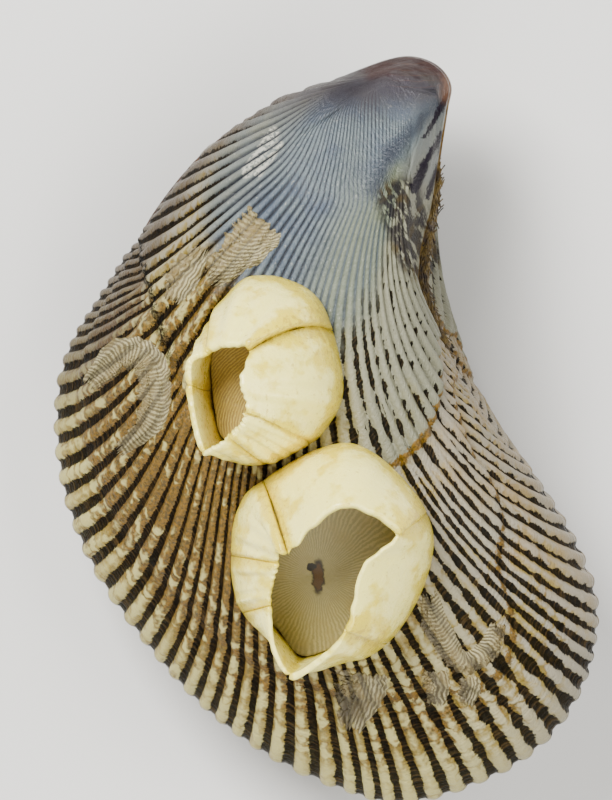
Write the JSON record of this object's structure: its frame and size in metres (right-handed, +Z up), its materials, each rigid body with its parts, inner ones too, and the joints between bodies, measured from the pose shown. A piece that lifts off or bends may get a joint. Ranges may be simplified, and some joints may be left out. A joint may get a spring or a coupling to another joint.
{
  "type": "hooked mussel shell with barnacles",
  "caption": "Closed, hooked, finely ribbed mussel shell lying on its left valve, with empty barnacles and old barnacle bases cemented on the upper valve.",
  "frame": {"origin": "centre of the bounding box, on the surface that the shell lies on", "axes": "+Z up from the surface; +Y along the shell towards the beak; +X towards the hollow ventral side"},
  "size_m": [0.0341, 0.0469, 0.0261],
  "materials": {
    "valve": "satin ribbed shell, cream ribs with near-black grooves, slate blue towards the beak",
    "ligament": "dark brown horny strip",
    "byssus": "golden-brown fibrous strip",
    "barnacle": "smooth ivory plates, satin",
    "barnacle_base": "dull olive-brown, radially striated",
    "old_base": "dull cream crust, finely corrugated"
  },
  "bodies": {
    "root": {"right_valve": "valve", "left_valve": "valve", "hinge_ligament": "ligament", "byssus_remains": "byssus", "upper_barnacle_base": "barnacle_base", "upper_barnacle_plate_1": "barnacle", "upper_barnacle_plate_2": "barnacle", "upper_barnacle_plate_3": "barnacle", "upper_barnacle_plate_4": "barnacle", "upper_barnacle_plate_5": "barnacle", "upper_barnacle_plate_6": "barnacle", "lower_barnacle_base": "barnacle_base", "lower_barnacle_plate_1": "barnacle", "lower_barnacle_plate_2": "barnacle", "lower_barnacle_plate_3": "barnacle", "lower_barnacle_plate_4": "barnacle", "lower_barnacle_plate_5": "barnacle", "lower_barnacle_plate_6": "barnacle", "old_base_arch": "old_base", "old_base_fan": "old_base", "old_base_small_fan": "old_base", "old_base_posterior": "old_base", "old_base_hoop": "old_base", "old_base_flake_1": "old_base", "old_base_flake_2": "old_base"}
  },
  "joints": []
}
